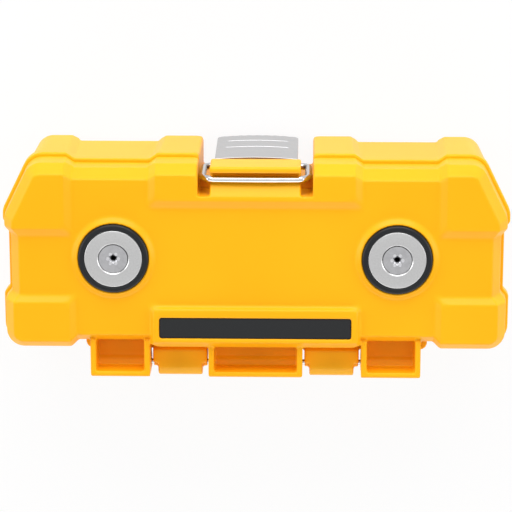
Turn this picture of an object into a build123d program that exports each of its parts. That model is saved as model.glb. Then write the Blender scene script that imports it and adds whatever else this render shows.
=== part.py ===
from build123d import *
import math
import os

os.makedirs("parts", exist_ok=True)

# A closed bit case lying on its back. +X is right, +Y is the latch side and
# +Z points out of the lid. The origin is the middle of the rear face.
# All sizes are millimetres.

# Case body. Widths and heights are to the walls of the raised blocks.
case_half_width = 86.35
case_half_height = 32.95
base_depth = 38.0
lid_depth = 12.0
wall = 2.0
block_step = 2.0
face_step = 1.8
slope_run = 9.35
slope_rise = 19.05
top_corner_radius = 6.6
side_corner_radius = 5.0
bottom_corner_radius = 6.5
least_corner_radius = 0.8
draft = 0.4
edge_bevel_in = 3.1
edge_bevel_deep = 5.0
rear_bevel = 2.0
rim_out = 1.15
rim_deep = 5.2
inner_shoulder_low = 0.6
inner_bevel_share = 0.75
parting = base_depth
lid_face = parting + lid_depth
raised_face = lid_face + face_step
slope_side_y = case_half_height - slope_rise
slope_top_x = case_half_width - slope_run

# How far a cutting shape passes the face that it cuts, and how far a wide one reaches.
overrun = 1.0
reach = 200.0

# Raised blocks: where each one starts, and how wide its sloping side is.
upper_block_x = 62.3
upper_block_y = 7.6
upper_block_slope = 2.9
lower_block_x = 61.4
lower_block_y = 13.2
lower_block_slope = 2.4
top_block_x = 36.6
top_block_y = 17.7
top_block_slope = 2.8
strip_block_x = 36.0
strip_block_y = 16.9
strip_block_slope = 1.0

# Latch recess, keeper and lever.
recess_half_width = 19.55
recess_floor = 22.0
slot_inner_x = 15.45
keeper_top = 32.3
keeper_thick = 2.2
keeper_front = raised_face - 0.2
keeper_nose = 1.0
groove_depth = 6.8
slope_plate = 2.7
rim_plate_top = 26.2
rim_plate_thick = 1.5
lever_pin_y = 28.4
lever_pin_z = 34.1
bail_pin_back = 4.4
bail_pin_low = 0.6
crossbar_y = 27.6
crossbar_z = 49.8
wire_radius = 1.15
bail_half_width = 18.0
bail_corner_radius = 4.5
bail_foot_radius = 2.6
crossbar_bow = 0.6
crossbar_bow_radius = 300.0
lever_half_width = 14.3
sheet = 1.0
lever_crown = 0.7
lever_corner = 1.8
scallop_count = 8
scallop_radius = 2.4
scallop_depth = 0.25
grip_groove_back = (7.0, 15.2)
grip_groove_half = (10.6, 11.0)
grip_groove_width = 0.7
grip_groove_depth = 0.35
lever_front_z = 33.6
lever_front_y = 31.9
lever_tail_z = 4.5
lever_tail_y = 33.3
ear_pin_radius = 2.5
ear_foot_radius = 2.2
post_gap = 2.3
post_width = 2.8
post_radius = 1.75
post_into_wall = 0.5
post_top_inset = 0.3
flange_tail_z = 9.0
flange_step_z = 11.0
flange_step = 2.8
flange_middle_z = 20.0
flange_middle = 3.2
ear_inset = 0.05
foot_inside = 0.4
pin_ease_share = 0.2
latch_pin_radius = 1.0
fit_gap = 0.07

# Hinge.
hinge_y = -40.7
hinge_z = parting - 1.0
hinge_pin_radius = 0.9
lug_barrel_radius = 3.4
lug_outer_x = 57.05
lug_inner_x = 36.5
middle_lug_half = 16.25
lug_front = lid_face - 1.4
lug_bottom = -42.8
lug_wall = 1.95
lug_floor = 1.7
lug_back = 1.0
lug_corner = 1.5
lug_reach = 30.0
lug_into_wall = 1.5
lug_hollow_into_wall = 3.0
lug_heel_in = 0.5
lug_heel_rise = 0.3
lug_slope_in = 2.6
lug_slope_rise = 2.1
lug_neck_out = 3.5
knuckle_gap = 0.65
knuckle_low = -40.0
knuckle_inset = 1.75
knuckle_barrel_radius = 4.6
knuckle_front = hinge_z + knuckle_barrel_radius
collar_radius = 1.6
knuckle_root_out = 2.3
knuckle_face_out = 4.3
knuckle_foot = 4.0
knuckle_heel = 2.0
hinge_pin_into_lug = 6.0
ledge_half_width = 59.9
ledge_low = -37.6
ledge_top = 32.0
ledge_deep = 11.0
ledge_corner = 2.5
ledge_lip = 3.0

# Magnets in the lid.
magnet_x = 48.4
magnet_y = 0.2
boss_radius = 14.4
boss_top_radius = 12.6
boss_step = 1.6
boss_sunk = 0.1
collar_out_radius = 12.05
disc_radius = 9.95
collar_proud = 2.3
disc_low = 0.1
collar_floor = 1.2
magnet_thick = 4.7
screw_head_radius = 4.9
sink_radius = 5.35
screw_radius = 2.0
screw_length = 12.5
screw_boss_radius = 4.2
screw_boss_floor = 1.0
screw_tip_gap = 0.5
screw_hole_gap = 0.2
screw_head_low = 0.15
drive_radius = 2.1
drive_depth = 1.8
disc_chamfer = 0.2
collar_edge_radius = 0.5
seat_gap = 0.05

# Grip strip on the lid.
strip_half_length = 32.95
strip_top_y = -20.8
strip_bottom_y = -28.1
strip_recess = 1.5
strip_thick = 1.1
strip_corner = 0.8

# Bits and their holders.
bit_across_flats = 6.35
insert_bit_length = 25.0
long_bit_length = 50.0
floor_inset = block_step + wall + draft + rear_bevel * 0.6
tray_half_width = case_half_width - floor_inset
tray_half_height = case_half_height - floor_inset
bar_end_gap = 3.0
bar_middle_gap = 3.0
bar_wall_gap = 4.35
bar_length = tray_half_width - bar_end_gap - bar_middle_gap / 2
bar_x = (bar_length + bar_middle_gap) / 2
bar_width = 12.0
bar_height = 12.5
bar_chamfer = 0.8
bar_y = -tray_half_height + bar_wall_gap + bar_width / 2
bits_in_bar = 6
bit_pitch = bar_length / bits_in_bar
bit_sunk = 10.0
hole_gap = 0.12
cradle_end_gap = 7.0
cradle_bar_gap = 3.2
cradle_length = long_bit_length
cradle_x = -tray_half_width + cradle_end_gap + cradle_length / 2
cradle_rib_inset = 12.0
cradle_width = 6.0
cradle_height = 9.0
cradle_plate = 1.5
long_bit_count = 4
cradle_wall_gap = 0.75
cradle_low_y = bar_y + bar_width / 2 + cradle_bar_gap
long_bit_pitch = (tray_half_height - cradle_wall_gap - cradle_low_y) / long_bit_count
long_bit_first_y = cradle_low_y + long_bit_pitch / 2
holder_length = 60.0
holder_end_gap = 10.75
holder_bar_gap = 9.0
holder_half_cradle = 9.0
holder_x = tray_half_width - holder_end_gap - holder_length / 2
holder_y = bar_y + bar_width / 2 + holder_bar_gap + holder_half_cradle
sleeve_radius = 6.0
sleeve_length = 26.0
sleeve_wall = 1.5
sleeve_end_gap = 3.0
sleeve_cover = 4.0
socket_depth = 12.0
holder_magnet_radius = 2.4
holder_magnet_thick = 3.0
holder_floor_gap = 2.0
holder_cradle_start = 4.0
holder_cradle_end = 2.0
holder_cradle_height = 8.0
holder_seat_gap = 0.05


def outline(inset):
    """Case outline at block level, moved inwards by inset."""
    half_width = case_half_width - inset
    half_height = case_half_height - inset
    length = math.hypot(slope_run, slope_rise)
    normal_x = slope_rise / length
    normal_y = slope_run / length
    distance = normal_x * case_half_width + normal_y * slope_side_y - inset
    side_y = (distance - normal_x * half_width) / normal_y
    top_x = (distance - normal_y * half_height) / normal_x
    points = [
        (-half_width, -half_height),
        (half_width, -half_height),
        (half_width, side_y),
        (top_x, half_height),
        (-top_x, half_height),
        (-half_width, side_y),
    ]
    bottom = max(bottom_corner_radius - inset, least_corner_radius)
    side = max(side_corner_radius - inset, least_corner_radius)
    top = max(top_corner_radius - inset, least_corner_radius)
    radii = [bottom, bottom, side, top, top, side]
    return make_face(FilletPolyline(*points, radius=radii, close=True))


def stack(levels):
    """Solid through the outline at each (height, inset)."""
    return loft([Pos(0, 0, height) * outline(inset) for height, inset in levels], ruled=True)


def slab(x0, x1, y0, y1, z0, z1):
    """Box between two corners."""
    return Pos((x0 + x1) / 2, (y0 + y1) / 2, (z0 + z1) / 2) * Box(x1 - x0, y1 - y0, z1 - z0)


def prism_x(points, x0, x1):
    """Closed profile given as (y, z), drawn out along X."""
    face = Plane.YZ * make_face(Polyline(*points, close=True))
    return Pos(x0, 0, 0) * extrude(face, amount=x1 - x0, dir=(1, 0, 0))


def rod_x(radius, y, z, x0, x1):
    """Round bar along X."""
    return Pos((x0 + x1) / 2, y, z) * Rot(0, 90, 0) * Cylinder(radius, x1 - x0)


def prism_z(points, z0, z1):
    """Closed profile given as (x, y), drawn out along Z."""
    return Pos(0, 0, z0) * extrude(make_face(Polyline(*points, close=True)), amount=z1 - z0)


def outside_plane(a, b, c, away):
    """Big block on one side of the plane through three points, the side that away points to."""
    first = Vector(*a)
    normal = (Vector(*b) - first).cross(Vector(*c) - first).normalized()
    if normal.dot(Vector(*away)) < 0:
        normal = -normal
    return Plane(origin=first, z_dir=normal) * Pos(0, 0, reach) * Box(4 * reach, 4 * reach, 2 * reach)


def upper_region(side, inset):
    """Plan of an upper corner block, from its sloping sides outwards."""
    wall_x = case_half_width - inset
    wall_y = case_half_height - inset
    points = [
        (upper_block_x, upper_block_y),
        (upper_block_x, wall_y - block_step),
        (upper_block_x + upper_block_slope, wall_y),
        (upper_block_x + upper_block_slope, reach),
        (reach, reach),
        (reach, upper_block_y + upper_block_slope),
        (wall_x, upper_block_y + upper_block_slope),
        (wall_x - block_step, upper_block_y),
    ]
    return [(side * x, y) for x, y in points]


def lower_region(side, inset):
    """Plan of a lower corner block."""
    wall_x = case_half_width - inset
    wall_y = case_half_height - inset
    points = [
        (lower_block_x, lower_block_y),
        (lower_block_x, wall_y - block_step),
        (lower_block_x + lower_block_slope, wall_y),
        (lower_block_x + lower_block_slope, reach),
        (reach, reach),
        (reach, lower_block_y + lower_block_slope),
        (wall_x, lower_block_y + lower_block_slope),
        (wall_x - block_step, lower_block_y),
    ]
    return [(side * x, -y) for x, y in points]


def middle_region(half_x, slope, start_y, way, inset):
    """Plan of the block at the middle of the top (way 1) or bottom (way -1) wall."""
    wall_y = case_half_height - inset
    points = [
        (half_x, start_y),
        (half_x, wall_y - block_step),
        (half_x - slope, wall_y),
        (half_x - slope, reach),
        (-half_x + slope, reach),
        (-half_x + slope, wall_y),
        (-half_x, wall_y - block_step),
        (-half_x, start_y),
    ]
    return [(x, way * y) for x, y in points]


def block_regions(inset):
    """Plans of all six raised blocks."""
    regions = [upper_region(side, inset) for side in (-1, 1)]
    regions += [lower_region(side, inset) for side in (-1, 1)]
    regions.append(middle_region(top_block_x, top_block_slope, top_block_y, 1, inset))
    regions.append(middle_region(strip_block_x, top_block_slope, strip_block_y, -1, inset))
    return regions


def lid_levels(inset, rise):
    """Heights and insets of the lid's outside: wall, bevelled edge and face."""
    shoulder = lid_face + rise - edge_bevel_deep
    return [
        (parting, inset),
        (shoulder, inset + draft),
        (lid_face + rise, inset + draft + edge_bevel_in),
    ]


def bevel_block(block, start, slope, axis, way, wall_at):
    """Slope one inner side of a raised block down to the plain face and edge.

    The side lies across axis at start and its block lies the way given; wall_at is where
    the plain wall stands, as a signed place on the other axis.
    """
    def at(along, across, height):
        return (along, across, height) if axis == "x" else (across, along, height)

    foot = start
    crest = start + way * slope
    outward = math.copysign(1.0, wall_at)
    shoulder = lid_face - edge_bevel_deep
    edge = wall_at - outward * draft
    block -= outside_plane(
        at(foot, 0, lid_face),
        at(foot, 10, lid_face),
        at(crest, 0, raised_face),
        (0, 0, 1),
    )
    block -= outside_plane(
        at(foot, edge, shoulder),
        at(foot, edge - outward * edge_bevel_in, lid_face),
        at(crest, edge + outward * block_step, shoulder + face_step),
        at(0, outward, 1),
    )
    return block


def lid_blocks():
    """The six raised blocks of the lid, sloped on their inner sides."""
    proud = stack(lid_levels(0, face_step))
    plain_x = case_half_width - block_step
    plain_y = case_half_height - block_step
    blocks = []
    for side in (-1, 1):
        block = proud & prism_z(upper_region(side, 0), parting, raised_face)
        block = bevel_block(block, side * upper_block_x, upper_block_slope, "x", side, plain_y)
        block = bevel_block(block, upper_block_y, upper_block_slope, "y", 1, side * plain_x)
        blocks.append(block)
        block = proud & prism_z(lower_region(side, 0), parting, raised_face)
        block = bevel_block(block, side * lower_block_x, lower_block_slope, "x", side, -plain_y)
        block = bevel_block(block, -lower_block_y, lower_block_slope, "y", -1, side * plain_x)
        blocks.append(block)
    block = proud & prism_z(
        middle_region(top_block_x, top_block_slope, top_block_y, 1, 0), parting, raised_face
    )
    for side in (-1, 1):
        block = bevel_block(block, side * top_block_x, top_block_slope, "x", -side, plain_y)
    block -= outside_plane(
        (0, top_block_y, lid_face),
        (10, top_block_y, lid_face),
        (0, top_block_y + top_block_slope, raised_face),
        (0, 0, 1),
    )
    blocks.append(block)
    block = proud & prism_z(
        middle_region(strip_block_x, top_block_slope, strip_block_y, -1, 0), parting, raised_face
    )
    for side in (-1, 1):
        block -= outside_plane(
            (side * strip_block_x, 0, lid_face),
            (side * strip_block_x, 10, lid_face),
            (side * (strip_block_x - strip_block_slope), 0, raised_face),
            (0, 0, 1),
        )
    block -= outside_plane(
        (0, -strip_block_y, lid_face),
        (10, -strip_block_y, lid_face),
        (0, -strip_block_y - strip_block_slope, raised_face),
        (0, 0, 1),
    )
    blocks.append(block)
    return blocks


def plan_solid(inset, z0, z1):
    """Straight solid with the case's full plan, blocks and all."""
    plan = extrude(outline(inset + block_step), amount=z1 - z0)
    proud = extrude(outline(inset), amount=z1 - z0)
    for region in block_regions(inset):
        plan += proud & prism_z(region, 0, z1 - z0)
    return Pos(0, 0, z0) * plan


def one(shape):
    """The single solid of a shape, so that every node is one plain solid."""
    solids = shape.solids()
    return solids[0] if len(solids) == 1 else Compound(children=list(solids))


def lug(x0, x1):
    """One box-shaped hinge lug of the lid, open to the front, with its barrel."""
    wall_y = -(case_half_height - block_step)
    shell = prism_x(
        [
            (wall_y + lug_into_wall, parting),
            (wall_y + lug_into_wall, lug_front),
            (lug_bottom, lug_front),
            (hinge_y - lug_barrel_radius, hinge_z),
            (hinge_y + lug_heel_in, hinge_z - lug_barrel_radius + lug_heel_rise),
            (hinge_y + lug_slope_in, hinge_z - lug_slope_rise),
            (wall_y - lug_neck_out, parting),
        ],
        x0,
        x1,
    )
    shell -= slab(
        x0 + lug_wall,
        x1 - lug_wall,
        lug_bottom + lug_floor,
        wall_y + lug_hollow_into_wall,
        parting + lug_back,
        lug_front + overrun,
    )
    shell += rod_x(lug_barrel_radius, hinge_y, hinge_z, x0, x1)
    low = hinge_y - lug_barrel_radius
    plan = Pos((x0 + x1) / 2, low + lug_reach / 2) * Rectangle(x1 - x0, lug_reach)
    plan = fillet(plan.vertices().group_by(Axis.Y)[0], lug_corner)
    return shell & Pos(0, 0, hinge_z - lug_reach / 2) * extrude(plan, amount=lug_reach)


def make_lid():
    """Lid: blocks, latch keeper, hinge lugs, magnet bosses and strip recess."""
    body = stack(lid_levels(block_step, 0))
    for block in lid_blocks():
        body += block
    inner_shoulder = lid_face - edge_bevel_deep - inner_shoulder_low
    cavity = stack([
        (parting - overrun, block_step + wall),
        (inner_shoulder, block_step + wall + draft),
        (lid_face - wall, block_step + wall + draft + edge_bevel_in * inner_bevel_share),
    ])
    cavity -= slab(
        -recess_half_width - wall,
        recess_half_width + wall,
        recess_floor - wall,
        reach,
        0,
        reach,
    )
    for side in (-1, 1):
        centre = Pos(side * magnet_x, magnet_y, 0)
        cup_floor = lid_face + collar_proud - magnet_thick - collar_floor - disc_low
        cavity -= centre * Pos(0, 0, (cup_floor - wall + lid_face) / 2) * Cylinder(
            collar_out_radius + wall, lid_face - cup_floor + wall
        )
        boss_bottom = lid_face - disc_low + collar_proud - screw_length - screw_boss_floor
        cavity -= centre * Pos(0, 0, (boss_bottom + lid_face) / 2) * Cylinder(
            screw_boss_radius, lid_face - boss_bottom
        )
    body -= cavity
    body -= slab(
        -recess_half_width, recess_half_width, recess_floor, reach, parting - overrun, reach
    )
    groove_top = keeper_top - keeper_thick
    keeper = prism_x(
        [
            (recess_floor, raised_face),
            (groove_top, raised_face - groove_depth),
            (groove_top, keeper_front),
            (keeper_top, keeper_front),
            (keeper_top, parting),
            (groove_top, parting),
            (groove_top, raised_face - groove_depth - slope_plate),
            (recess_floor, raised_face - slope_plate),
        ],
        -slot_inner_x,
        slot_inner_x,
    )
    nose = keeper.edges().filter_by(Axis.X).sort_by(Axis.Z)[-3:]
    nose = [edge for edge in nose if edge.center().Y > recess_floor + overrun]
    keeper = fillet(nose, keeper_nose)
    body += keeper
    for x0, x1 in (
        (-lug_outer_x, -lug_inner_x),
        (-middle_lug_half, middle_lug_half),
        (lug_inner_x, lug_outer_x),
    ):
        body += lug(x0, x1)
    bore_end = lug_outer_x + overrun
    body -= rod_x(hinge_pin_radius + fit_gap, hinge_y, hinge_z, -bore_end, bore_end)
    for side in (-1, 1):
        centre = Pos(side * magnet_x, magnet_y, 0)
        body += centre * Pos(0, 0, lid_face + (boss_step - boss_sunk) / 2) * Cone(
            boss_radius, boss_top_radius, boss_step + boss_sunk
        )
        cup_floor = lid_face + collar_proud - magnet_thick - collar_floor - disc_low
        body -= centre * Pos(0, 0, cup_floor + reach / 2) * Cylinder(
            collar_out_radius + seat_gap, reach
        )
        hole_top = cup_floor + overrun
        hole_bottom = lid_face - disc_low + collar_proud - screw_length - screw_tip_gap
        body -= centre * Pos(0, 0, (hole_top + hole_bottom) / 2) * Cylinder(
            screw_radius + seat_gap, hole_top - hole_bottom
        )
    body -= slab(
        -strip_half_length - seat_gap,
        strip_half_length + seat_gap,
        strip_bottom_y - seat_gap,
        strip_top_y + seat_gap,
        raised_face - strip_recess,
        raised_face + overrun,
    )
    return one(body)


def make_base():
    """Base: deep tray with rim, latch channel, lever posts, hinge ledge and knuckles."""
    levels = [(0, draft + rear_bevel), (rear_bevel, draft), (parting, 0)]
    body = stack([(height, inset + block_step) for height, inset in levels])
    proud = stack(levels)
    for region in block_regions(0):
        body += proud & prism_z(region, 0, parting)
    body += plan_solid(-rim_out, parting - rim_deep, parting)
    ledge = slab(
        -ledge_half_width,
        ledge_half_width,
        ledge_low,
        -case_half_height + block_step + overrun,
        ledge_top - ledge_deep,
        ledge_top,
    )
    ledge_corners = ledge.edges().filter_by(Axis.Z).group_by(Axis.Y)[0]
    ledge = fillet(ledge_corners, ledge_corner)
    ledge -= outside_plane(
        (0, ledge_low, ledge_top - ledge_lip),
        (1, ledge_low, ledge_top - ledge_lip),
        (0, -case_half_height + block_step, ledge_top - ledge_deep),
        (0, -1, -1),
    )
    body += ledge
    wall_y = -(case_half_height - block_step)
    for side in (-1, 1):
        x0 = middle_lug_half + knuckle_gap
        x1 = lug_inner_x - knuckle_gap
        if side < 0:
            x0, x1 = -x1, -x0
        body += prism_x(
            [
                (wall_y + overrun, ledge_top - knuckle_foot),
                (wall_y + overrun, parting),
                (wall_y - knuckle_root_out, parting),
                (wall_y - knuckle_face_out, knuckle_front),
                (knuckle_low, knuckle_front),
                (knuckle_low, hinge_z - knuckle_heel),
                (ledge_low, ledge_top - knuckle_foot),
            ],
            x0,
            x1,
        )
        body += rod_x(collar_radius, hinge_y, hinge_z, x0, x1)
        body += rod_x(
            knuckle_barrel_radius, hinge_y, hinge_z, x0 + knuckle_inset, x1 - knuckle_inset
        )
        body -= rod_x(
            hinge_pin_radius + fit_gap, hinge_y, hinge_z, x0 - knuckle_gap / 2, x1 + knuckle_gap / 2
        )
    cavity = stack([
        (wall, floor_inset),
        (wall + rear_bevel, block_step + wall + draft),
        (parting + overrun, block_step + wall),
    ])
    cavity -= slab(
        -recess_half_width - wall,
        recess_half_width + wall,
        recess_floor - wall,
        reach,
        -overrun,
        parting + 2 * overrun,
    )
    body -= cavity
    body -= slab(
        -recess_half_width,
        recess_half_width,
        recess_floor,
        reach,
        -overrun,
        parting - rim_plate_thick,
    )
    body -= slab(
        -recess_half_width, recess_half_width, rim_plate_top, reach, 0, parting + overrun
    )
    for side in (-1, 1):
        outer = side * (lever_half_width - sheet - post_gap)
        inner = outer - side * post_width
        x0, x1 = min(outer, inner), max(outer, inner)
        post = slab(
            x0,
            x1,
            recess_floor - post_into_wall,
            lever_pin_y,
            lever_pin_z - post_radius,
            lever_pin_z + post_radius - post_top_inset,
        )
        post += rod_x(post_radius, lever_pin_y, lever_pin_z, x0, x1)
        post -= rod_x(latch_pin_radius + fit_gap, lever_pin_y, lever_pin_z, x0 - overrun, x1 + overrun)
        body += post
    return one(body)


def lever_surface(z):
    """Height of the middle of the lever's outer surface at z."""
    share = (lever_front_z - z) / (lever_front_z - lever_tail_z)
    return lever_front_y + share * (lever_tail_y - lever_front_y)


def lever_plate():
    """Crowned plate of the lever, with a scalloped tail and two pressed grooves."""
    side_y = lever_front_y - lever_crown
    outer = ThreePointArc((-lever_half_width, side_y), (0, lever_front_y), (lever_half_width, side_y))
    inner = Pos(0, -sheet) * outer
    ends = [Line(outer @ 0, inner @ 0), Line(outer @ 1, inner @ 1)]
    section = Pos(0, 0, lever_front_z) * make_face([outer, inner, *ends])
    run = Vector(0, lever_tail_y - lever_front_y, lever_tail_z - lever_front_z)
    plate = extrude(section, amount=run.length, dir=run)
    tail = plate.edges().filter_by(Axis.Y, tolerance=20).group_by(Axis.Z)[0]
    plate = fillet([edge for edge in tail if edge.length < 2 * sheet], lever_corner)
    scallop_pitch = 2 * (lever_half_width - lever_corner) / scallop_count
    for index in range(scallop_count):
        x = (index - (scallop_count - 1) / 2) * scallop_pitch
        z = lever_tail_z - scallop_radius + scallop_depth
        plate -= Pos(x, lever_tail_y, z) * Rot(90, 0, 0) * Cylinder(scallop_radius, 10)
    for back, half in zip(grip_groove_back, grip_groove_half):
        z = lever_tail_z + back
        surface = lever_surface(z)
        rise = lever_crown * (half / lever_half_width) ** 2
        floor = ThreePointArc((-half, surface - rise), (0, surface), (half, surface - rise))
        band = make_face([floor, Line(floor @ 1, (half, surface + 2)),
                          Line((half, surface + 2), (-half, surface + 2)),
                          Line((-half, surface + 2), floor @ 0)])
        groove = extrude(Pos(0, -grip_groove_depth, z) * band, amount=grip_groove_width / 2, both=True)
        plate -= groove
    return plate


def make_lever():
    """Stamped lever: its plate and two side flanges that carry both pivots."""
    foot_y = lever_pin_y - bail_pin_low
    foot_z = lever_pin_z - bail_pin_back
    lever = lever_plate()
    sink = lever_crown + sheet / 2
    for side in (-1, 1):
        outer = side * lever_half_width
        inner = outer - side * sheet
        x0, x1 = min(outer, inner), max(outer, inner)
        flange = prism_x(
            [
                (lever_surface(lever_front_z) - sink, lever_front_z),
                (lever_surface(flange_tail_z) - sink, flange_tail_z),
                (lever_surface(flange_step_z) - flange_step, flange_step_z),
                (lever_surface(flange_middle_z) - flange_middle, flange_middle_z),
                (foot_y - ear_foot_radius + ear_inset, foot_z),
                (lever_pin_y - ear_pin_radius + ear_inset, lever_pin_z),
                (lever_pin_y, lever_pin_z + ear_pin_radius - ear_inset),
            ],
            x0,
            x1,
        )
        flange += rod_x(ear_pin_radius, lever_pin_y, lever_pin_z, x0, x1)
        flange += rod_x(ear_foot_radius, foot_y, foot_z, x0, x1)
        bore = (x0 - overrun, x1 + overrun)
        flange -= rod_x(latch_pin_radius + fit_gap, lever_pin_y, lever_pin_z, *bore)
        flange -= rod_x(wire_radius + fit_gap, foot_y, foot_z, *bore)
        lever += flange
    return one(lever)


def make_bail():
    """Wire bail: a U with its feet turned in, hooked into the lever's flanges."""
    foot_y = lever_pin_y - bail_pin_low
    foot_z = lever_pin_z - bail_pin_back
    length = math.hypot(crossbar_y - foot_y, crossbar_z - foot_z)
    foot_x = lever_half_width - sheet - foot_inside
    plane = Plane(
        origin=(0, foot_y, foot_z),
        x_dir=(1, 0, 0),
        z_dir=Vector(1, 0, 0).cross(Vector(0, crossbar_y - foot_y, crossbar_z - foot_z)),
    )
    points = [
        (foot_x, 0),
        (bail_half_width, 0),
        (bail_half_width, length - crossbar_bow),
        (0, length),
        (-bail_half_width, length - crossbar_bow),
        (-bail_half_width, 0),
        (-foot_x, 0),
    ]
    radii = [
        bail_foot_radius,
        bail_corner_radius,
        crossbar_bow_radius,
        bail_corner_radius,
        bail_foot_radius,
    ]
    path = plane * FilletPolyline(*points, radius=radii)
    start = Plane(origin=path @ 0, z_dir=path % 0)
    return one(sweep(start * Circle(wire_radius), path=path))


def make_pin(radius, y, z, x0, x1):
    """Plain steel pivot pin with eased ends."""
    pin = rod_x(radius, y, z, x0, x1)
    return one(chamfer(pin.edges().filter_by(GeomType.CIRCLE), radius * pin_ease_share))


def magnet_parts(side):
    """Collar, magnet disc and screw at one end of the lid."""
    centre = Pos(side * magnet_x, magnet_y, 0)
    collar_top = lid_face + collar_proud
    disc_top = collar_top - disc_low
    disc_bottom = disc_top - magnet_thick
    collar_bottom = disc_bottom - collar_floor
    collar = Pos(0, 0, (collar_top + collar_bottom) / 2) * Cylinder(
        collar_out_radius, collar_top - collar_bottom
    )
    collar = fillet(collar.edges().group_by(Axis.Z)[-1], collar_edge_radius)
    collar -= Pos(0, 0, disc_bottom + reach / 2) * Cylinder(disc_radius + seat_gap, reach)
    collar -= Pos(0, 0, collar_bottom) * Cylinder(screw_radius + screw_hole_gap, reach)
    sink_depth = sink_radius - screw_radius - screw_hole_gap
    disc = Pos(0, 0, (disc_top + disc_bottom) / 2) * Cylinder(disc_radius, magnet_thick)
    disc = chamfer(disc.edges().group_by(Axis.Z)[-1], disc_chamfer)
    disc -= Pos(0, 0, disc_bottom) * Cylinder(screw_radius + screw_hole_gap, reach)
    disc -= Pos(0, 0, disc_top - sink_depth / 2 + 0.005) * Cone(
        screw_radius + screw_hole_gap, sink_radius, sink_depth + 0.01
    )
    head_top = disc_top - screw_head_low
    head_depth = screw_head_radius - screw_radius
    screw = Pos(0, 0, head_top - head_depth / 2) * Cone(screw_radius, screw_head_radius, head_depth)
    screw += Pos(0, 0, head_top - screw_length / 2) * Cylinder(screw_radius, screw_length)
    point = extrude(RegularPolygon(drive_radius, 6), amount=-drive_depth)
    screw -= Pos(0, 0, head_top) * (point + Rot(0, 0, 30) * point)
    return [one(centre * piece) for piece in (collar, disc, screw)]


def make_strip():
    """Rubber grip strip in the lid's raised frame."""
    bottom = raised_face - strip_recess
    strip = slab(
        -strip_half_length,
        strip_half_length,
        strip_bottom_y,
        strip_top_y,
        bottom,
        bottom + strip_thick,
    )
    return one(fillet(strip.edges().filter_by(Axis.Z), strip_corner))


def hex_shank(length, gap=0.0):
    """Six-sided bar standing on the origin, flats a bit's size apart."""
    return extrude(RegularPolygon((bit_across_flats + 2 * gap) / math.sqrt(3), 6), amount=length)


def cross_tip(width, length):
    """Four-winged tip that narrows to its end, standing on the origin."""
    tip = Pos(0, 0, length / 2) * Cone(width / 2, width * 0.22, length)
    for turn in range(4):
        flute = Pos(width * 0.42, width * 0.42, length / 2) * Box(
            width * 0.55, width * 0.55, length + 0.2
        )
        tip -= Rot(0, 0, 90 * turn) * flute
    return tip


def star_tip(width, length):
    """Six-lobed straight tip, standing on the origin."""
    tip = extrude(RegularPolygon(width / 2, 6), amount=length)
    return tip + extrude(Rot(0, 0, 30) * RegularPolygon(width / 2, 6), amount=length)


def square_tip(width, length):
    """Square tip that narrows a little, standing on the origin."""
    return extrude(Rectangle(width * 0.7, width * 0.7), amount=length, taper=3)


def blade_tip(width, length):
    """Flat blade that narrows to its edge, standing on the origin."""
    blade = Pos(0, 0, length / 2) * Box(width, width, length)
    for side in (-1, 1):
        blade -= outside_plane(
            (0, side * width * 0.34, 0),
            (10, side * width * 0.34, 0),
            (0, side * 0.4, length),
            (0, side, 0),
        )
    return blade & Pos(0, 0, length / 2) * Cylinder(width / 2, length)


tip_makers = {"cross": cross_tip, "star": star_tip, "square": square_tip, "blade": blade_tip}


def make_bit(kind, width, length):
    """Bit standing on its six-sided end."""
    tip_length = width * 1.1
    neck_length = 4.0
    shank_length = length - tip_length - neck_length
    bit = hex_shank(shank_length)
    bit += Pos(0, 0, shank_length + neck_length / 2 - 0.01) * Cone(
        bit_across_flats / 2, width / 2, neck_length + 0.02
    )
    bit += Pos(0, 0, length - tip_length) * tip_makers[kind](width, tip_length)
    return bit


# Kind and size of each short bit, from left to right.
insert_bits = [
    ("phillips_1", "cross", 4.5),
    ("phillips_2_a", "cross", 5.6),
    ("phillips_2_b", "cross", 5.6),
    ("phillips_2_c", "cross", 5.6),
    ("phillips_3", "cross", 6.2),
    ("pozi_2", "cross", 5.4),
    ("star_10", "star", 3.4),
    ("star_15", "star", 3.8),
    ("star_20", "star", 4.4),
    ("star_25", "star", 5.0),
    ("square_2", "square", 5.0),
    ("slotted_6", "blade", 5.8),
]
long_bits = [
    ("long_phillips_2_a", "cross", 5.6),
    ("long_phillips_2_b", "cross", 5.6),
    ("long_star_25", "star", 5.0),
    ("long_square_2", "square", 5.0),
]


def make_bar(side):
    """Bit bar with a row of six-sided holes, standing on the floor of the base."""
    bar = slab(
        side * bar_x - bar_length / 2,
        side * bar_x + bar_length / 2,
        bar_y - bar_width / 2,
        bar_y + bar_width / 2,
        wall,
        wall + bar_height,
    )
    bar = chamfer(bar.edges().group_by(Axis.Z)[-1], bar_chamfer)
    for index in range(bits_in_bar):
        bar -= Pos(bar_place(side, index), bar_y, wall + bar_height - bit_sunk) * hex_shank(
            bit_sunk + overrun, hole_gap
        )
    return one(bar)


def bar_place(side, index):
    """Where one bit stands along its bar."""
    return side * bar_x + (index - (bits_in_bar - 1) / 2) * bit_pitch


def long_bit_y(index):
    """Where one long bit lies across its cradle."""
    return long_bit_first_y + index * long_bit_pitch


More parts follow.
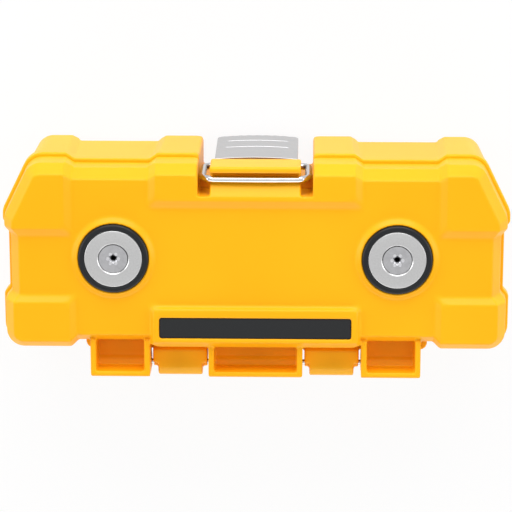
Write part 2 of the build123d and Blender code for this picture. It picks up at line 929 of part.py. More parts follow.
def make_cradle():
    """Two notched ribs on a thin plate that hold the long bits lying down."""
    centre_y = long_bit_y((long_bit_count - 1) / 2)
    half_y = long_bit_pitch * long_bit_count / 2
    plate = slab(
        cradle_x - cradle_length / 2,
        cradle_x + cradle_length / 2,
        centre_y - half_y,
        centre_y + half_y,
        wall,
        wall + cradle_plate,
    )
    for end in (-1, 1):
        middle = cradle_x + end * (cradle_length / 2 - cradle_rib_inset)
        plate += slab(
            middle - cradle_width / 2,
            middle + cradle_width / 2,
            centre_y - half_y,
            centre_y + half_y,
            wall,
            wall + cradle_height,
        )
    seat = bit_across_flats / math.sqrt(3) + hole_gap
    for index in range(long_bit_count):
        y = long_bit_y(index)
        plate -= slab(
            cradle_x - cradle_length,
            cradle_x + cradle_length,
            y - seat,
            y + seat,
            wall + cradle_height - bit_across_flats,
            wall + cradle_height + overrun,
        )
    return one(plate)


def lying(shape, x, y, z):
    """Turn a standing piece so that it points along +X, with a flat side down."""
    return Pos(x, y, z) * Rot(0, 90, 0) * shape


def holder_parts():
    """Magnetic bit holder, lying on its cradle: shank, sleeve and magnet, and the cradle."""
    z = wall + holder_floor_gap + sleeve_radius
    start = holder_x - holder_length / 2
    end = start + holder_length
    shank_end = end - sleeve_length
    shank = lying(hex_shank(holder_length - sleeve_length), start, holder_y, z)
    body = rod_x(sleeve_radius - sleeve_wall, holder_y, z, shank_end - sleeve_cover, end)
    body -= lying(hex_shank(socket_depth + overrun, hole_gap), end - socket_depth, holder_y, z)
    shank += body
    sleeve_start = shank_end - sleeve_end_gap
    sleeve = rod_x(sleeve_radius, holder_y, z, sleeve_start, sleeve_start + sleeve_length)
    sleeve -= rod_x(sleeve_radius - sleeve_wall + seat_gap, holder_y, z, start, end + reach)
    magnet_start = end - socket_depth
    magnet = rod_x(
        holder_magnet_radius, holder_y, z, magnet_start, magnet_start + holder_magnet_thick
    )
    cradle = slab(
        start + holder_cradle_start,
        end - holder_cradle_end,
        holder_y - holder_half_cradle,
        holder_y + holder_half_cradle,
        wall,
        wall + holder_cradle_height,
    )
    cradle -= rod_x(sleeve_radius + holder_seat_gap, holder_y, z, start, end + reach)
    cradle -= slab(start, end + reach, holder_y - sleeve_radius, holder_y + sleeve_radius, z, reach)
    return {
        "bit_holder_shank": one(shank),
        "bit_holder_sleeve": one(sleeve),
        "bit_holder_magnet": one(magnet),
        "bit_holder_cradle": one(cradle),
    }


nodes = {
    "base_shell": make_base(),
    "lid_shell": make_lid(),
    "latch_lever": make_lever(),
    "latch_bail": make_bail(),
    "latch_pin": make_pin(
        latch_pin_radius, lever_pin_y, lever_pin_z, -lever_half_width, lever_half_width
    ),
    "grip_strip": make_strip(),
    "bit_bar_left": make_bar(-1),
    "bit_bar_right": make_bar(1),
    "long_bit_cradle": make_cradle(),
}
for side, word in ((-1, "left"), (1, "right")):
    inner = middle_lug_half - hinge_pin_into_lug
    outer = lug_inner_x + hinge_pin_into_lug
    x0, x1 = (inner, outer) if side > 0 else (-outer, -inner)
    nodes[f"hinge_pin_{word}"] = make_pin(hinge_pin_radius, hinge_y, hinge_z, x0, x1)
    collar, disc, screw = magnet_parts(side)
    nodes[f"magnet_collar_{word}"] = collar
    nodes[f"magnet_disc_{word}"] = disc
    nodes[f"magnet_screw_{word}"] = screw
for index, (name, kind, width) in enumerate(insert_bits):
    side = -1 if index < bits_in_bar else 1
    place = Pos(bar_place(side, index % bits_in_bar), bar_y, wall + bar_height - bit_sunk)
    nodes[f"bit_{name}"] = one(place * make_bit(kind, width, insert_bit_length))
for index, (name, kind, width) in enumerate(long_bits):
    z = wall + cradle_height - bit_across_flats / 2
    bit = lying(
        Rot(0, 0, 30) * make_bit(kind, width, long_bit_length),
        cradle_x - long_bit_length / 2,
        long_bit_y(index),
        z,
    )
    nodes[f"bit_{name}"] = one(bit)
nodes.update(holder_parts())

for name, shape in nodes.items():
    shape.label = name
    export_step(shape, f"parts/{name}.step")
    print(name, round(shape.volume, 1))
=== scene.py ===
import bpy
import bmesh
import math
from mathutils import Matrix, Vector


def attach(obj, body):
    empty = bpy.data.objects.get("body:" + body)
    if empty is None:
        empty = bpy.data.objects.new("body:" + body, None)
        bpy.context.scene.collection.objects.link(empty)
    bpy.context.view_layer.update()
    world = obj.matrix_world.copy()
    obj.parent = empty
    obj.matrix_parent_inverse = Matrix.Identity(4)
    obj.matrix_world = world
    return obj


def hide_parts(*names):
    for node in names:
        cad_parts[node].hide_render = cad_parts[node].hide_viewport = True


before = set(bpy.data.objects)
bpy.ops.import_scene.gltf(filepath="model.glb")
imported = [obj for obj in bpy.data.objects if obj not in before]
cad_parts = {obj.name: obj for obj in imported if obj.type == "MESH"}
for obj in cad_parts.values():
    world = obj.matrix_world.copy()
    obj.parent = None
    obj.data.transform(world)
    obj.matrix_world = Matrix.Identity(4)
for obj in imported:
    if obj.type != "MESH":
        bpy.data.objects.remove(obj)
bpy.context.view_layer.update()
mm = 0.001
print("frame loaded:", len(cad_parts), "nodes")


class Sock:  # wraps a socket, so maths on it reads as plain sums
    def __init__(self, tree, socket):
        self.tree = tree
        self.socket = socket

    def calc(self, operation, *values):
        node = self.tree.nodes.new("ShaderNodeMath")
        node.operation = operation
        for slot, value in zip(node.inputs, values):
            if isinstance(value, Sock):
                self.tree.links.new(value.socket, slot)
            else:
                slot.default_value = value
        return Sock(self.tree, node.outputs[0])

    def __add__(self, other):
        return self.calc("ADD", self, other)

    def __radd__(self, other):
        return self.calc("ADD", other, self)

    def __sub__(self, other):
        return self.calc("SUBTRACT", self, other)

    def __rsub__(self, other):
        return self.calc("SUBTRACT", other, self)

    def __mul__(self, other):
        return self.calc("MULTIPLY", self, other)

    def __rmul__(self, other):
        return self.calc("MULTIPLY", other, self)


class Graph:  # the node tree of a material, of the world or of Geometry Nodes
    def __init__(self, tree):
        self.tree = tree

    def fill(self, slot, value):  # a socket gets a value or a link
        if isinstance(value, Sock):
            self.tree.links.new(value.socket, slot)
        else:
            slot.default_value = value

    def spread(self, ramp, stops):
        while len(ramp.elements) < len(stops):
            ramp.elements.new(0.5)
        for element, (place, tint) in zip(ramp.elements, stops):
            element.position = place
            element.color = tint

    def node(self, kind, settings=None, outlet=0, **inputs):  # an input is named, or numbered as in i6
        made = self.tree.nodes.new(kind)
        for key, value in (settings or {}).items():
            if key == "stops":
                self.spread(made.color_ramp, value)
            else:
                setattr(made, key, value)
        for key, value in inputs.items():
            numbered = key[0] == "i" and key[1:].isdigit()
            slot = made.inputs[int(key[1:]) if numbered else key.replace("_", " ")]
            for item in value if isinstance(value, list) else [value]:
                self.fill(slot, item)
        return Sock(self.tree, made.outputs[outlet])


class Paint(Graph):  # a material and its shader
    def __init__(self, name, **shader):
        self.material = bpy.data.materials.new(name)
        self.material.use_nodes = True
        super().__init__(self.material.node_tree)
        self.shader = self.tree.nodes["Principled BSDF"]
        for key, value in shader.items():
            self.set(key.replace("_", " "), value)

    def set(self, socketName, value):
        self.fill(self.shader.inputs[socketName], value)

    def place(self):
        return self.node("ShaderNodeTexCoord", outlet="Object")

    def noise(self, scale, detail, roughness=0.5, vector=None):
        return self.node("ShaderNodeTexNoise", Vector=vector or self.place(), Scale=scale, Detail=detail,
                         Roughness=roughness)

    def stretched(self, scale):  # object coordinates, drawn out along one axis
        return self.node("ShaderNodeMapping", Vector=self.place(), Scale=scale)

    def bump(self, height, distance):
        self.set("Normal", self.node("ShaderNodeBump", Height=height, Strength=1.0, Distance=distance))


def colour(hexCode):  # sRGB hex to the linear values that Blender wants
    parts = [int(hexCode[i:i + 2], 16) / 255 for i in (0, 2, 4)]
    return tuple(p / 12.92 if p <= 0.04045 else ((p + 0.055) / 1.055) ** 2.4 for p in parts) + (1.0,)


def grey(level):
    return (level, level, level, 1.0)


def nodeBox(name):  # lowest and highest corner of a CAD node
    places = [vertex.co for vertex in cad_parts[name].data.vertices]
    lowest = Vector([min(place[axis] for place in places) for axis in range(3)])
    highest = Vector([max(place[axis] for place in places) for axis in range(3)])
    return lowest, highest


def placed(name, data):  # a new object in the scene
    made = bpy.data.objects.new(name, data)
    bpy.context.scene.collection.objects.link(made)
    return made


def dress(obj, material):
    obj.data.materials.clear()
    obj.data.materials.append(material)


def smoothed(mesh, angle):  # smooth shading, with edges over the angle kept sharp
    mesh.polygons.foreach_set("use_smooth", [True] * len(mesh.polygons))
    mesh.set_sharp_from_angle(angle=math.radians(angle))


def settled(obj, nodeName, setup, material):  # a finished piece takes the place of its CAD node
    dress(obj, material)
    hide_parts(nodeName)
    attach(obj, setup["body"])
    return obj


yellowLook = {"colour": "fdb612", "dark": "fbb00d", "clouds": 14.0, "cloudEdges": (0.35, 0.65), "shine": 0.2,
              "roughness": 0.38, "roughnessSpread": 0.12, "grain": 2600.0, "grainDepth": 0.004 * mm}


def yellowPlastic(look):  # moulded plastic with a fine grain and hardly visible clouds
    paint = Paint("yellowPlastic", Specular_IOR_Level=look["shine"])
    cloud = paint.noise(look["clouds"], 3.0)
    stops = list(zip(look["cloudEdges"], (colour(look["dark"]), colour(look["colour"]))))
    paint.set("Base Color", paint.node("ShaderNodeValToRGB", {"stops": stops}, Fac=cloud))
    grain = paint.noise(look["grain"], 2.0, 0.6)
    paint.set("Roughness", look["roughness"] + (grain - 0.5) * look["roughnessSpread"])
    paint.bump(grain, look["grainDepth"])
    return paint.material


blackLook = {"colour": "131518", "roughness": 0.38, "roughnessSpread": 0.2, "shine": 0.25, "grain": 3000.0,
             "grainDepth": 0.004 * mm}
rubberLook = {"colour": "101214", "roughness": 0.62, "roughnessSpread": 0.2, "shine": 0.3, "grain": 1500.0,
              "grainDepth": 0.03 * mm}


def blackMoulding(name, look):
    paint = Paint(name, Specular_IOR_Level=look["shine"], Base_Color=colour(look["colour"]))
    grain = paint.noise(look["grain"], 3.0, 0.6)
    paint.set("Roughness", look["roughness"] + (grain - 0.5) * look["roughnessSpread"])
    paint.bump(grain, look["grainDepth"])
    return paint.material


# lines: how closely the marks lie along each axis
sheetLook = {"colour": "c4c4c5", "roughness": 0.3, "lines": (40.0, 2400.0, 2400.0), "depth": 0.002 * mm}
wireLook = {"colour": "c6c6c8", "roughness": 0.12, "lines": (300.0, 300.0, 300.0), "depth": 0.001 * mm}
discLook = {"colour": "bababa", "roughness": 0.34, "lines": (1800.0, 1800.0, 1800.0), "depth": 0.002 * mm}
bitLook = {"colour": "8f8f8d", "roughness": 0.34, "lines": (900.0, 900.0, 900.0), "depth": 0.004 * mm}
pinLook = {"colour": "bcbcbc", "roughness": 0.28, "lines": (200.0, 1500.0, 1500.0), "depth": 0.001 * mm}
# recess: over this depth the drive goes from a painted highlight near its rim to painted shade at its bottom
screwLook = {"colour": "b2b2b4", "roughness": 0.24, "lines": (500.0, 500.0, 500.0), "depth": 0.001 * mm,
             "recess": 2.0 * mm, "recessPaintedLight": [(0.0, 1.0), (0.05, 1.5), (0.42, 1.5), (0.6, 0.03), (1.0, 0.02)]}
screwLook["top"] = nodeBox("magnet_screw_left")[1].z  # the drive's depth is measured from the head
markEdges = (0.3, 0.6)
markShade = 0.9  # how dark the marks are beside the metal
markRoughness = 0.1


def drawnMetal(name, look):  # metal with fine marks left by its making
    paint = Paint(name, Metallic=1.0)
    marks = paint.noise(1.0, 3.0, 0.6, paint.stretched(look["lines"]))
    pale = colour(look["colour"])
    deep = [markShade * part for part in pale[:3]] + [1.0]
    tone = paint.node("ShaderNodeValToRGB", {"stops": list(zip(markEdges, (deep, pale)))}, Fac=marks)
    # the drive's recess is painted by depth below the head: a painted highlight near the rim, painted shade at the
    # bottom
    if "recess" in look:
        height = paint.node("ShaderNodeSeparateXYZ", outlet="Z", Vector=paint.place())
        depth = (look["top"] - height) * (1 / look["recess"])
        stops = [(place, grey(level)) for place, level in look["recessPaintedLight"]]
        shade = paint.node("ShaderNodeValToRGB", {"stops": stops}, Fac=depth)
        blend = {"data_type": "RGBA", "blend_type": "MULTIPLY"}
        tone = paint.node("ShaderNodeMix", blend, outlet=2, i0=1.0, i6=tone, i7=shade)
    paint.set("Base Color", tone)
    paint.set("Roughness", look["roughness"] + (marks - 0.5) * markRoughness)
    paint.bump(marks, look["depth"])
    return paint.material


yellow = yellowPlastic(yellowLook)
blackPlastic = blackMoulding("blackPlastic", blackLook)
blackRubber = blackMoulding("blackRubber", rubberLook)
stainlessSheet = drawnMetal("stainlessSheet", sheetLook)
brightWire = drawnMetal("brightWire", wireLook)
discNickel = drawnMetal("discNickel", discLook)
screwSteel = drawnMetal("screwSteel", screwLook)
bitSteel = drawnMetal("bitSteel", bitLook)
pinSteel = drawnMetal("pinSteel", pinLook)

for name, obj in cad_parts.items():
    if name.endswith("_shell"):
        dress(obj, yellow)
    elif "pin" in name:
        dress(obj, pinSteel)
    elif name.startswith("bit_bar") or "cradle" in name or "sleeve" in name or "collar" in name:
        dress(obj, blackPlastic)
    elif name.startswith("bit_"):
        dress(obj, bitSteel)
    else:
        dress(obj, stainlessSheet)
print("materials made")


def lineDistance(place, start, end):  # how far a point lies from a line between two others
    run = end - start
    share = max(0.0, min(1.0, (place - start).dot(run) / run.length_squared))
    return (start + run * share - place).length


def evaluated(piece):  # plain mesh of a piece with its modifiers applied
    mesh = bpy.data.meshes.new_from_object(piece.evaluated_get(bpy.context.evaluated_depsgraph_get()))
    piece.modifiers.clear()
    piece.data = mesh
    return mesh


def merged(mesh, flatAngle=None):  # a CAD node's loose triangles joined into one closed surface
    build = bmesh.new()
    build.from_mesh(mesh)
    bmesh.ops.remove_doubles(build, verts=build.verts, dist=0.001 * mm)
    if flatAngle:  # and flat faces made whole again
        bmesh.ops.dissolve_limit(build, angle_limit=math.radians(flatAngle), verts=build.verts,
                                 edges=build.edges)
    build.to_mesh(mesh)
    build.free()


easingStep = 0.5  # share of the way that a vertex goes to its neighbours' middle in one pass
cornerGrip = 1.6  # the easing is full over the inner part of a corner's width, and fades outside it


def gripCorner(group, mesh, corner):  # vertices near a corner line, which runs on both sides of the case
    start, end = Vector(corner["from"]), Vector(corner["to"])
    low = [min(pair) - corner["width"] for pair in zip(start, end)]
    high = [max(pair) + corner["width"] for pair in zip(start, end)]
    for vertex in mesh.vertices:
        x, y, z = abs(vertex.co.x) / mm, vertex.co.y / mm, vertex.co.z / mm
        if low[0] < x < high[0] and low[1] < y < high[1] and low[2] < z < high[2]:
            nearness = 1 - lineDistance(Vector((x, y, z)), start, end) / corner["width"]
            if nearness > 0:
                group.add([vertex.index], min(1.0, cornerGrip * nearness), "REPLACE")


def moulded(nodeName, name, setup, material):  # copy of a shell with the soft edges of a moulding
    piece = placed(name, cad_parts[nodeName].data.copy())
    merged(piece.data)
    if "shape" in setup:
        setup["shape"](piece.data)
    skin = piece.modifiers.new("fineSkin", "REMESH")
    skin.mode = "VOXEL"
    skin.voxel_size = setup["fineness"] * mm
    mesh = evaluated(piece)
    softer = piece.vertex_groups.new(name="softer")
    for corner in setup["corners"]:
        gripCorner(softer, mesh, corner)
    overall = piece.modifiers.new("easedEdges", "SMOOTH")
    overall.factor, overall.iterations = easingStep, setup["easing"]
    local = piece.modifiers.new("rounderCorners", "SMOOTH")
    local.factor, local.iterations, local.vertex_group = easingStep, setup["cornerEasing"], "softer"
    fewer = piece.modifiers.new("fewerFaces", "DECIMATE")
    fewer.ratio = min(1.0, setup["triangles"] / (2 * len(mesh.polygons)))
    mesh = evaluated(piece)
    mesh.polygons.foreach_set("use_smooth", [True] * len(mesh.polygons))
    piece.vertex_groups.clear()
    even = piece.modifiers.new("evenShading", "WEIGHTED_NORMAL")
    even.weight = 60
    print(name, len(mesh.polygons), "faces")
    return settled(piece, nodeName, setup, material)


def softened(nodeName, name, setup, material):  # copy of a node with eased edges
    piece = placed(name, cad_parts[nodeName].data.copy())
    merged(piece.data, setup["flatAngle"])
    bevel = piece.modifiers.new("softEdges", "BEVEL")
    bevel.width = setup["edge"] * mm
    bevel.segments = setup["steps"]
    bevel.limit_method = "ANGLE"
    bevel.angle_limit = math.radians(setup["sharpAngle"])
    bevel.use_clamp_overlap = False
    bevel.miter_outer = "MITER_ARC"
    smoothed(evaluated(piece), setup["smoothAngle"])
    even = piece.modifiers.new("evenShading", "WEIGHTED_NORMAL")
    even.keep_sharp = True
    return settled(piece, nodeName, setup, material)


# Which vertices of the base belong to a block's side: over which wall, between which widths
blockTaper = {"wall": 26, "outer": (60, 67), "inner": (33, 37.5), "fromHeight": 38.0, "lean": 1.6}


def leanBlocks(mesh):  # the base's blocks grow narrower towards the rear
    wall, outer, inner = blockTaper["wall"], blockTaper["outer"], blockTaper["inner"]
    for vertex in mesh.vertices:
        x, y, z = abs(vertex.co.x) / mm, abs(vertex.co.y) / mm, vertex.co.z / mm
        back = 1 - min(1.0, z / blockTaper["fromHeight"])
        shift = math.copysign(blockTaper["lean"] * back * mm, vertex.co.x)
        if y > wall and outer[0] < x < outer[1]:
            vertex.co.x += shift
        elif vertex.co.y > wall * mm and inner[0] < x < inner[1]:
            vertex.co.x -= shift


# All in mm: fineness is the skin's grid, corners are the lines that get a larger rounding
lidMoulding = {"fineness": 0.42, "easing": 2, "cornerEasing": 34, "triangles": 160000, "body": "lid",
               "slot": "case_plastic", "corners": [
                   {"from": (36.6, 17.7, 50.0), "to": (33.8, 20.5, 51.8), "width": 3.2},
                   {"from": (36.0, -16.9, 50.0), "to": (35.0, -17.9, 51.8), "width": 3.0},
                   {"from": (62.3, 7.6, 50.0), "to": (65.2, 10.5, 51.8), "width": 2.0},
                   {"from": (61.4, -13.2, 50.0), "to": (63.8, -15.6, 51.8), "width": 2.0},
                   {"from": (19.55, 32.9, 38.0), "to": (19.55, 32.5, 46.8), "width": 2.6},
                   {"from": (19.55, 32.5, 46.8), "to": (19.55, 29.4, 51.8), "width": 2.6}]}
baseMoulding = {"fineness": 0.45, "easing": 2, "cornerEasing": 30, "triangles": 180000, "body": "base",
                "slot": "case_plastic", "shape": leanBlocks, "corners": [
                    {"from": (19.55, 32.6, 2.0), "to": (19.55, 32.9, 32.0), "width": 2.4},
                    {"from": (19.55, 34.0, 32.8), "to": (19.55, 34.0, 38.0), "width": 2.2}]}
moulded("lid_shell", "lidShell", lidMoulding, yellow)
moulded("base_shell", "baseShell", baseMoulding, yellow)
print("case rounded")

leverEdges = {"edge": 0.16, "steps": 2, "flatAngle": 0.5, "sharpAngle": 32, "smoothAngle": 35,
              "body": "lever", "slot": "stainless_sheet"}
stripEdges = {"edge": 0.35, "steps": 3, "flatAngle": 0.5, "sharpAngle": 30, "smoothAngle": 32,
              "body": "lid", "slot": "black_rubber"}
softened("latch_lever", "latchLever", leverEdges, stainlessSheet)
softened("grip_strip", "gripStrip", stripEdges, blackRubber)
print("lever and grip strip eased")


def arc(centre, radius, start, end, steps):  # points of a profile on part of a circle
    turns = [math.radians(start + (end - start) * step / steps) for step in range(steps + 1)]
    return [(centre[0] + radius * math.cos(turn), centre[1] + radius * math.sin(turn)) for turn in turns]


def turnedRing(name, profile, centre, steps):  # closed profile of (radius, height), turned about a hole
    build = bmesh.new()
    rings = []
    for index in range(steps):
        turn = 2 * math.pi * index / steps
        across, along = math.cos(turn), math.sin(turn)
        rings.append([build.verts.new((centre[0] + radius * across, centre[1] + radius * along, height))
                      for radius, height in profile])
    for index, ring in enumerate(rings):
        following = rings[(index + 1) % steps]
        for place in range(len(profile)):
            after = (place + 1) % len(profile)
            build.faces.new((ring[place], following[place], following[after], ring[after]))
    bmesh.ops.recalc_face_normals(build, faces=build.faces)
    mesh = bpy.data.meshes.new(name)
    build.to_mesh(mesh)
    build.free()
    smoothed(mesh, 30)
    return placed(name, mesh)


collarShape = {"shoulder": 0.95 * mm, "shoulderSteps": 8, "lip": 0.35 * mm, "lipSteps": 4, "seat": 0.05 * mm,
               "hole": 2.2 * mm, "roundness": 128, "body": "lid", "slot": "collar_plastic"}


def magnetCollar(side, setup):
    lowest, highest = nodeBox(f"magnet_collar_{side}")
    discLow, discHigh = nodeBox(f"magnet_disc_{side}")
    centre = (lowest + highest) / 2
    outer = (highest.x - lowest.x) / 2
    inner = (discHigh.x - discLow.x) / 2 + setup["seat"]
    shoulder, lip = setup["shoulder"], setup["lip"]
    profile = [(setup["hole"], lowest.z), (outer, lowest.z)]
    profile += arc((outer - shoulder, highest.z - shoulder), shoulder, 0, 90, setup["shoulderSteps"])
    profile += arc((inner + lip, highest.z - lip), lip, 90, 180, setup["lipSteps"])
    profile += [(inner, discLow.z), (setup["hole"], discLow.z)]
    piece = turnedRing(f"magnetCollar{side.capitalize()}", profile, centre, setup["roundness"])
    settled(piece, f"magnet_collar_{side}", setup, blackPlastic)


discShape = {"rim": 0.4 * mm, "rimSteps": 4, "sink": 5.35 * mm, "sinkEase": 0.1 * mm, "sinkDip": 0.06 * mm,
             "hole": 2.2 * mm, "roundness": 128, "body": "lid", "slot": "nickel_disc"}


def magnetDisc(side, setup):
    lowest, highest = nodeBox(f"magnet_disc_{side}")
    centre = (lowest + highest) / 2
    outer = (highest.x - lowest.x) / 2
    rim, sink, hole = setup["rim"], setup["sink"], setup["hole"]
    profile = [(hole, lowest.z), (outer, lowest.z)]
    profile += arc((outer - rim, highest.z - rim), rim, 0, 90, setup["rimSteps"])
    profile += [(sink + setup["sinkEase"], highest.z), (sink, highest.z - setup["sinkDip"]),
                (hole, highest.z - (sink - hole))]  # the countersink
    piece = turnedRing(f"magnetDisc{side.capitalize()}", profile, centre, setup["roundness"])
    settled(piece, f"magnet_disc_{side}", setup, discNickel)


for side in ("left", "right"):
    magnetCollar(side, collarShape)
    magnetDisc(side, discShape)
print("magnets and collars turned")


class Recipe(Graph):  # a Geometry Nodes tree with named inputs
    def __init__(self, name, inputs):
        super().__init__(bpy.data.node_groups.new(name, "GeometryNodeTree"))
        self.sockets = {}
        for key, (kind, value) in inputs.items():
            made = self.tree.interface.new_socket(name=key, in_out="INPUT", socket_type=kind)
            made.default_value = value
            self.sockets[key] = made.identifier
        self.tree.interface.new_socket(name="Geometry", in_out="OUTPUT", socket_type="NodeSocketGeometry")
        self.entry = self.tree.nodes.new("NodeGroupInput")

    def given(self, key):
        return Sock(self.tree, self.entry.outputs[key])

    def lifted(self, geometry, height):
        move = self.node("ShaderNodeCombineXYZ", Z=height)
        return self.node("GeometryNodeTransform", Geometry=geometry, Translation=move)

    def finish(self, geometry, material):
        real = self.node("GeometryNodeRealizeInstances", i0=geometry)
        dressed = self.node("GeometryNodeSetMaterial", Geometry=real, Material=material)
        leave = self.tree.nodes.new("NodeGroupOutput")
        self.tree.links.new(dressed.socket, leave.inputs[0])

    def grow(self, name, values):  # plain mesh made by the tree
        holder = placed(name, bpy.data.meshes.new(name))
        modifier = holder.modifiers.new("recipe", "NODES")
        modifier.node_group = self.tree
        for key, value in values.items():
            modifier[self.sockets[key]] = value
        evaluated(holder)
        return holder


screwShape = {"head": 4.9 * mm, "shank": 2.0 * mm, "shankEase": 0.999, "length": 12.5 * mm, "lobes": 6,
              "lobeRing": 1.84 * mm, "lobeSize": 0.62 * mm, "lobeRoundness": 24, "core": 1.86 * mm,
              "coreTip": 0.05 * mm, "coreReach": 1.2, "driveDepth": 1.7 * mm, "roundness": 64,
              "body": "lid", "slot": "screw_steel"}


def screwRecipe(setup):
    recipe = Recipe("countersunkScrew", {
        "Head Radius": ("NodeSocketFloat", setup["head"]), "Shank Radius": ("NodeSocketFloat", setup["shank"]),
        "Length": ("NodeSocketFloat", setup["length"]), "Lobes": ("NodeSocketInt", setup["lobes"]),
        "Lobe Ring": ("NodeSocketFloat", setup["lobeRing"]), "Lobe Size": ("NodeSocketFloat", setup["lobeSize"]),
        "Core": ("NodeSocketFloat", setup["core"]), "Drive Depth": ("NodeSocketFloat", setup["driveDepth"])})
    radius, shank, length = recipe.given("Head Radius"), recipe.given("Shank Radius"), recipe.given("Length")
    depth = recipe.given("Drive Depth")
    headDepth = radius - shank
    rounds = {"Vertices": setup["roundness"]}
    head = recipe.node("GeometryNodeMeshCone", Radius_Top=radius, Radius_Bottom=shank, Depth=headDepth, **rounds)
    head = recipe.lifted(head, 0 - headDepth)
    rod = recipe.node("GeometryNodeMeshCylinder", Radius=shank * setup["shankEase"],
                      Depth=length - headDepth * 0.5, **rounds)  # from halfway up the head to the end
    rod = recipe.lifted(rod, 0 - length * 0.5 - headDepth * 0.25)
    body = recipe.node("GeometryNodeMeshBoolean", {"operation": "UNION"}, i1=[head, rod])
    lobe = recipe.node("GeometryNodeMeshCylinder", Vertices=setup["lobeRoundness"],
                       Radius=recipe.given("Lobe Size"), Depth=depth)
    ring = recipe.node("GeometryNodeMeshCircle", Vertices=recipe.given("Lobes"), Radius=recipe.given("Lobe Ring"))
    lobes = recipe.node("GeometryNodeInstanceOnPoints", Points=ring, Instance=lobe)
    lobes = recipe.node("GeometryNodeRealizeInstances", i0=lobes)
    core = recipe.node("GeometryNodeMeshCone", Vertices=recipe.given("Lobes"), Radius_Top=recipe.given("Core") * 2,
                       Radius_Bottom=setup["coreTip"], Depth=depth * (2 * setup["coreReach"]))
    core = recipe.lifted(core, 0 - depth * setup["coreReach"])  # widest above the head, a point below it
    for cutter in (lobes, core):
        body = recipe.node("GeometryNodeMeshBoolean", {"operation": "DIFFERENCE"}, i0=body, i1=[cutter])
    recipe.finish(body, screwSteel)
    return recipe


drivenScrew = screwRecipe(screwShape)
for side in ("left", "right"):
    lowest, highest = nodeBox(f"magnet_screw_{side}")
    centre = (lowest + highest) / 2
    sizes = {"Head Radius": (highest.x - lowest.x) / 2, "Length": highest.z - lowest.z}
    screw = drivenScrew.grow(f"magnetScrew{side.capitalize()}", sizes)
    screw.data.transform(Matrix.Translation((centre.x, centre.y, highest.z)))
    smoothed(screw.data, 30)
    settled(screw, f"magnet_screw_{side}", screwShape, screwSteel)
    print("screw", side, len(screw.data.polygons), "faces")


def roundedPath(points, radii, steps):  # path in a plane, each inner corner replaced with an arc
    path = [points[0]]
    for before, corner, after, radius in zip(points, points[1:], points[2:], radii):
        here, there = (before - corner).normalized(), (after - corner).normalized()
        angle = here.angle(there)
        reach = radius / math.tan(angle / 2)
        middle = corner + (here + there).normalized() * (radius / math.sin(angle / 2))
        start, end = corner + here * reach - middle, corner + there * reach - middle
        first = math.atan2(start.y, start.x)
        sweep = math.remainder(math.atan2(end.y, end.x) - first, 2 * math.pi)
        for step in range(steps + 1):
            turn = first + sweep * step / steps
            path.append(middle + Vector((math.cos(turn), math.sin(turn))) * radius)
    path.append(points[-1])
    return path


bailShape = {"wire": 1.15 * mm, "wireRoundness": 8, "bow": 0.6 * mm, "bowRadius": 300 * mm,
             "barCorner": 4.2 * mm, "footCorner": 2.6 * mm, "cornerSteps": 12, "inside": 12.9 * mm,
             "lean": 0.1 * mm, "body": "bail", "slot": "bright_wire"}


def bailWire(setup):
    lowest, highest = nodeBox("latch_bail")
    wire, inside, lean = setup["wire"], setup["inside"], setup["lean"]
    halfWidth = highest.x - wire
    footZ, barZ = lowest.z + wire, highest.z - wire
    middleY = (lowest.y + highest.y) / 2
    rise = barZ - footZ
    shoulder = rise - setup["bow"]
    plan = [Vector(place) for place in ((inside, 0), (halfWidth, 0), (halfWidth, shoulder), (0, rise),
                                        (-halfWidth, shoulder), (-halfWidth, 0), (-inside, 0))]
    radii = [setup["footCorner"], setup["barCorner"], setup["bowRadius"], setup["barCorner"],
             setup["footCorner"]]
    curve = bpy.data.curves.new("latchBail", "CURVE")
    curve.dimensions = "3D"
    curve.bevel_depth = wire
    curve.bevel_resolution = setup["wireRoundness"]
    curve.use_fill_caps = True
    path = roundedPath(plan, radii, setup["cornerSteps"])
    spline = curve.splines.new("POLY")
    spline.points.add(len(path) - 1)
    for point, place in zip(spline.points, path):
        point.co = (place.x, middleY + lean - 2 * lean * place.y / rise, footZ + place.y, 1.0)
    holder = placed("latchBail", curve)
    mesh = bpy.data.meshes.new_from_object(holder.evaluated_get(bpy.context.evaluated_depsgraph_get()))
    bpy.data.objects.remove(holder)
    smoothed(mesh, 40)
    return settled(placed("latchBail", mesh), "latch_bail", setup, brightWire)


bailWire(bailShape)
print("latch made")

# Camera: above the latch wall, looking down at the lid
cameraSetup = {"elevation": 15.0, "azimuth": 1.3, "distance": 850 * mm, "lens": 175.3, "sensor": 36.0,
               "aim": (0.27 * mm, 1.02 * mm, 50 * mm)}


def makeCamera(setup):
    data = bpy.data.cameras.new("photoCamera")
    data.lens = setup["lens"]
    data.sensor_width = setup["sensor"]
    data.clip_end = 10.0
    camera = placed("photoCamera", data)
    tilt, turn = math.radians(setup["elevation"]), math.radians(setup["azimuth"])
    back = Vector((math.cos(tilt) * math.sin(turn), math.sin(tilt), math.cos(tilt) * math.cos(turn)))
    camera.location = Vector(setup["aim"]) + back * setup["distance"]
    side = Vector((0, 1, 0)).cross(back).normalized()
    upward = back.cross(side)
    camera.rotation_mode = "QUATERNION"
    camera.rotation_quaternion = Matrix((side, upward, back)).transposed().to_quaternion()
    bpy.context.scene.camera = camera


makeCamera(cameraSetup)

lightAim = (0, 0, 0.03)  # the middle of the case
lightSetup = {"keyLight": {"place": (0.0, 0.88, 0.45), "size": (1.2, 0.7), "power": 10.8},
              "frontLight": {"place": (0.0, 0.25, 1.1), "size": (0.8, 0.4), "power": 0.7},
              "leftLight": {"place": (-0.95, 0.1, 0.4), "size": (0.6, 0.5), "power": 3.8},
              "rightLight": {"place": (0.95, 0.1, 0.4), "size": (0.6, 0.5), "power": 3.8},
              "lowLight": {"place": (0.0, -1.25, 0.62), "size": (2.2, 1.0), "power": 13.5}}


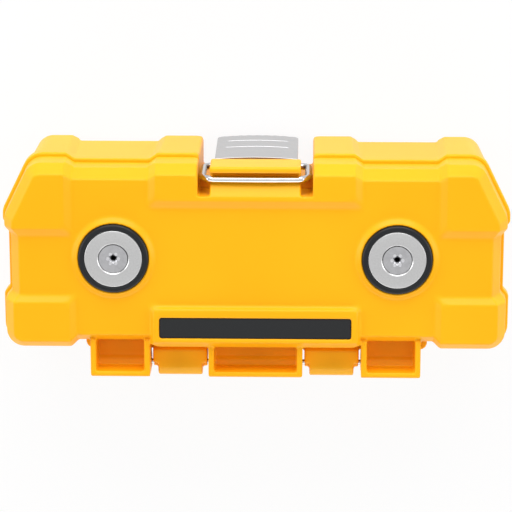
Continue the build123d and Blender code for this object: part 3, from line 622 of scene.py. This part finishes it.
def softLight(name, setup):
    data = bpy.data.lights.new(name, "AREA")
    data.shape = "RECTANGLE"
    data.size, data.size_y = setup["size"]
    data.energy = setup["power"]
    light = placed(name, data)
    light.location = setup["place"]
    light.rotation_mode = "QUATERNION"
    light.rotation_quaternion = (Vector(setup["place"]) - Vector(lightAim)).to_track_quat("Z", "Y")


for name, setup in lightSetup.items():
    softLight(name, setup)


def directlySeen(graph):  # 1 for what the camera, metal and glass show, 0 for what only lights the object
    camera, glossy, through = [graph.node("ShaderNodeLightPath", outlet=f"Is {kind} Ray")
                               for kind in ("Camera", "Glossy", "Transmission")]
    return camera.calc("MAXIMUM", camera.calc("MAXIMUM", camera, glossy), through)


# white: how much of the floor is plain white where it is seen, and the rest takes light and shadow
floorLook = {"halfWidth": 3.0, "colour": 0.86, "roughness": 0.9, "white": 0.9}


def makeFloor(look):
    mesh = bpy.data.meshes.new("paleFloor")
    build = bmesh.new()
    bmesh.ops.create_grid(build, x_segments=1, y_segments=1, size=look["halfWidth"])
    build.to_mesh(mesh)
    build.free()
    floor = placed("paleFloor", mesh)
    paint = Paint("paleFloor", Base_Color=grey(look["colour"]), Roughness=look["roughness"])
    white = paint.node("ShaderNodeEmission", Color=(1, 1, 1, 1), Strength=1.0)
    lit = Sock(paint.tree, paint.shader.outputs[0])
    mix = paint.node("ShaderNodeMixShader", i0=directlySeen(paint) * look["white"], i1=lit, i2=white)
    paint.fill(paint.tree.nodes["Material Output"].inputs["Surface"], mix)
    mesh.materials.append(paint.material)


makeFloor(floorLook)
worldLook = {"light": 0.3, "seen": 1.0}


def studioWorld(look):  # white behind the object and in its reflections, softer light on it
    world = bpy.data.worlds.new("studio")
    bpy.context.scene.world = world
    world.use_nodes = True
    sky = Graph(world.node_tree)
    seen = directlySeen(sky)
    background = sky.tree.nodes["Background"]
    sky.fill(background.inputs["Color"], (1, 1, 1, 1))
    sky.fill(background.inputs["Strength"], seen * look["seen"] + (1 - seen) * look["light"])


studioWorld(worldLook)
bpy.context.scene.view_settings.view_transform = "Standard"
print("camera, lights and floor made")
